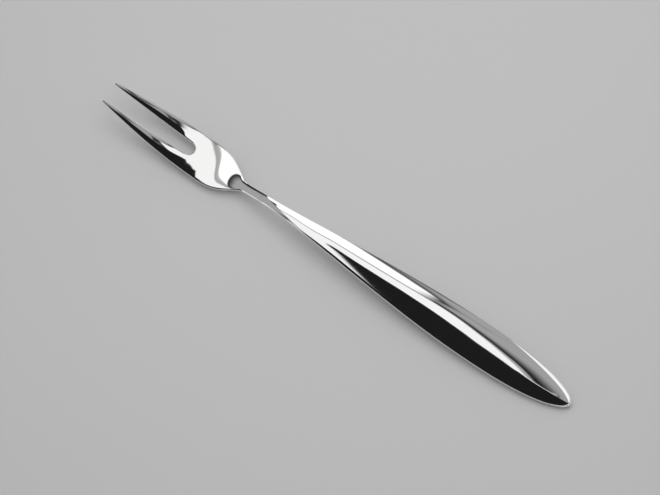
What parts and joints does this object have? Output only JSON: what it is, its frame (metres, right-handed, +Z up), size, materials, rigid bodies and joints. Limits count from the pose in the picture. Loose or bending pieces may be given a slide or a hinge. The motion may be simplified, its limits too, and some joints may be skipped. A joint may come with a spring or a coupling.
{
  "type": "meat fork",
  "caption": "Slim polished two-tine meat fork with a shallow bowl, thin neck and a long twisted leaf-shaped hollow handle, for lifting and serving sliced meat.",
  "frame": {"origin": "on the table plane, under the middle of the fork's length and width", "axes": "+X from the tine tips to the handle end, +Y across to the side of the flat facet at the handle end, +Z up"},
  "size_m": [0.2, 0.016, 0.0093],
  "materials": {
    "polished_steel": "mirror polished steel",
    "filler": "cast filler, hidden inside the handle"
  },
  "bodies": {
    "root": {"fork_head": "polished_steel", "handle_upper_shell": "polished_steel", "handle_lower_shell": "polished_steel", "handle_core": "filler"}
  },
  "joints": []
}
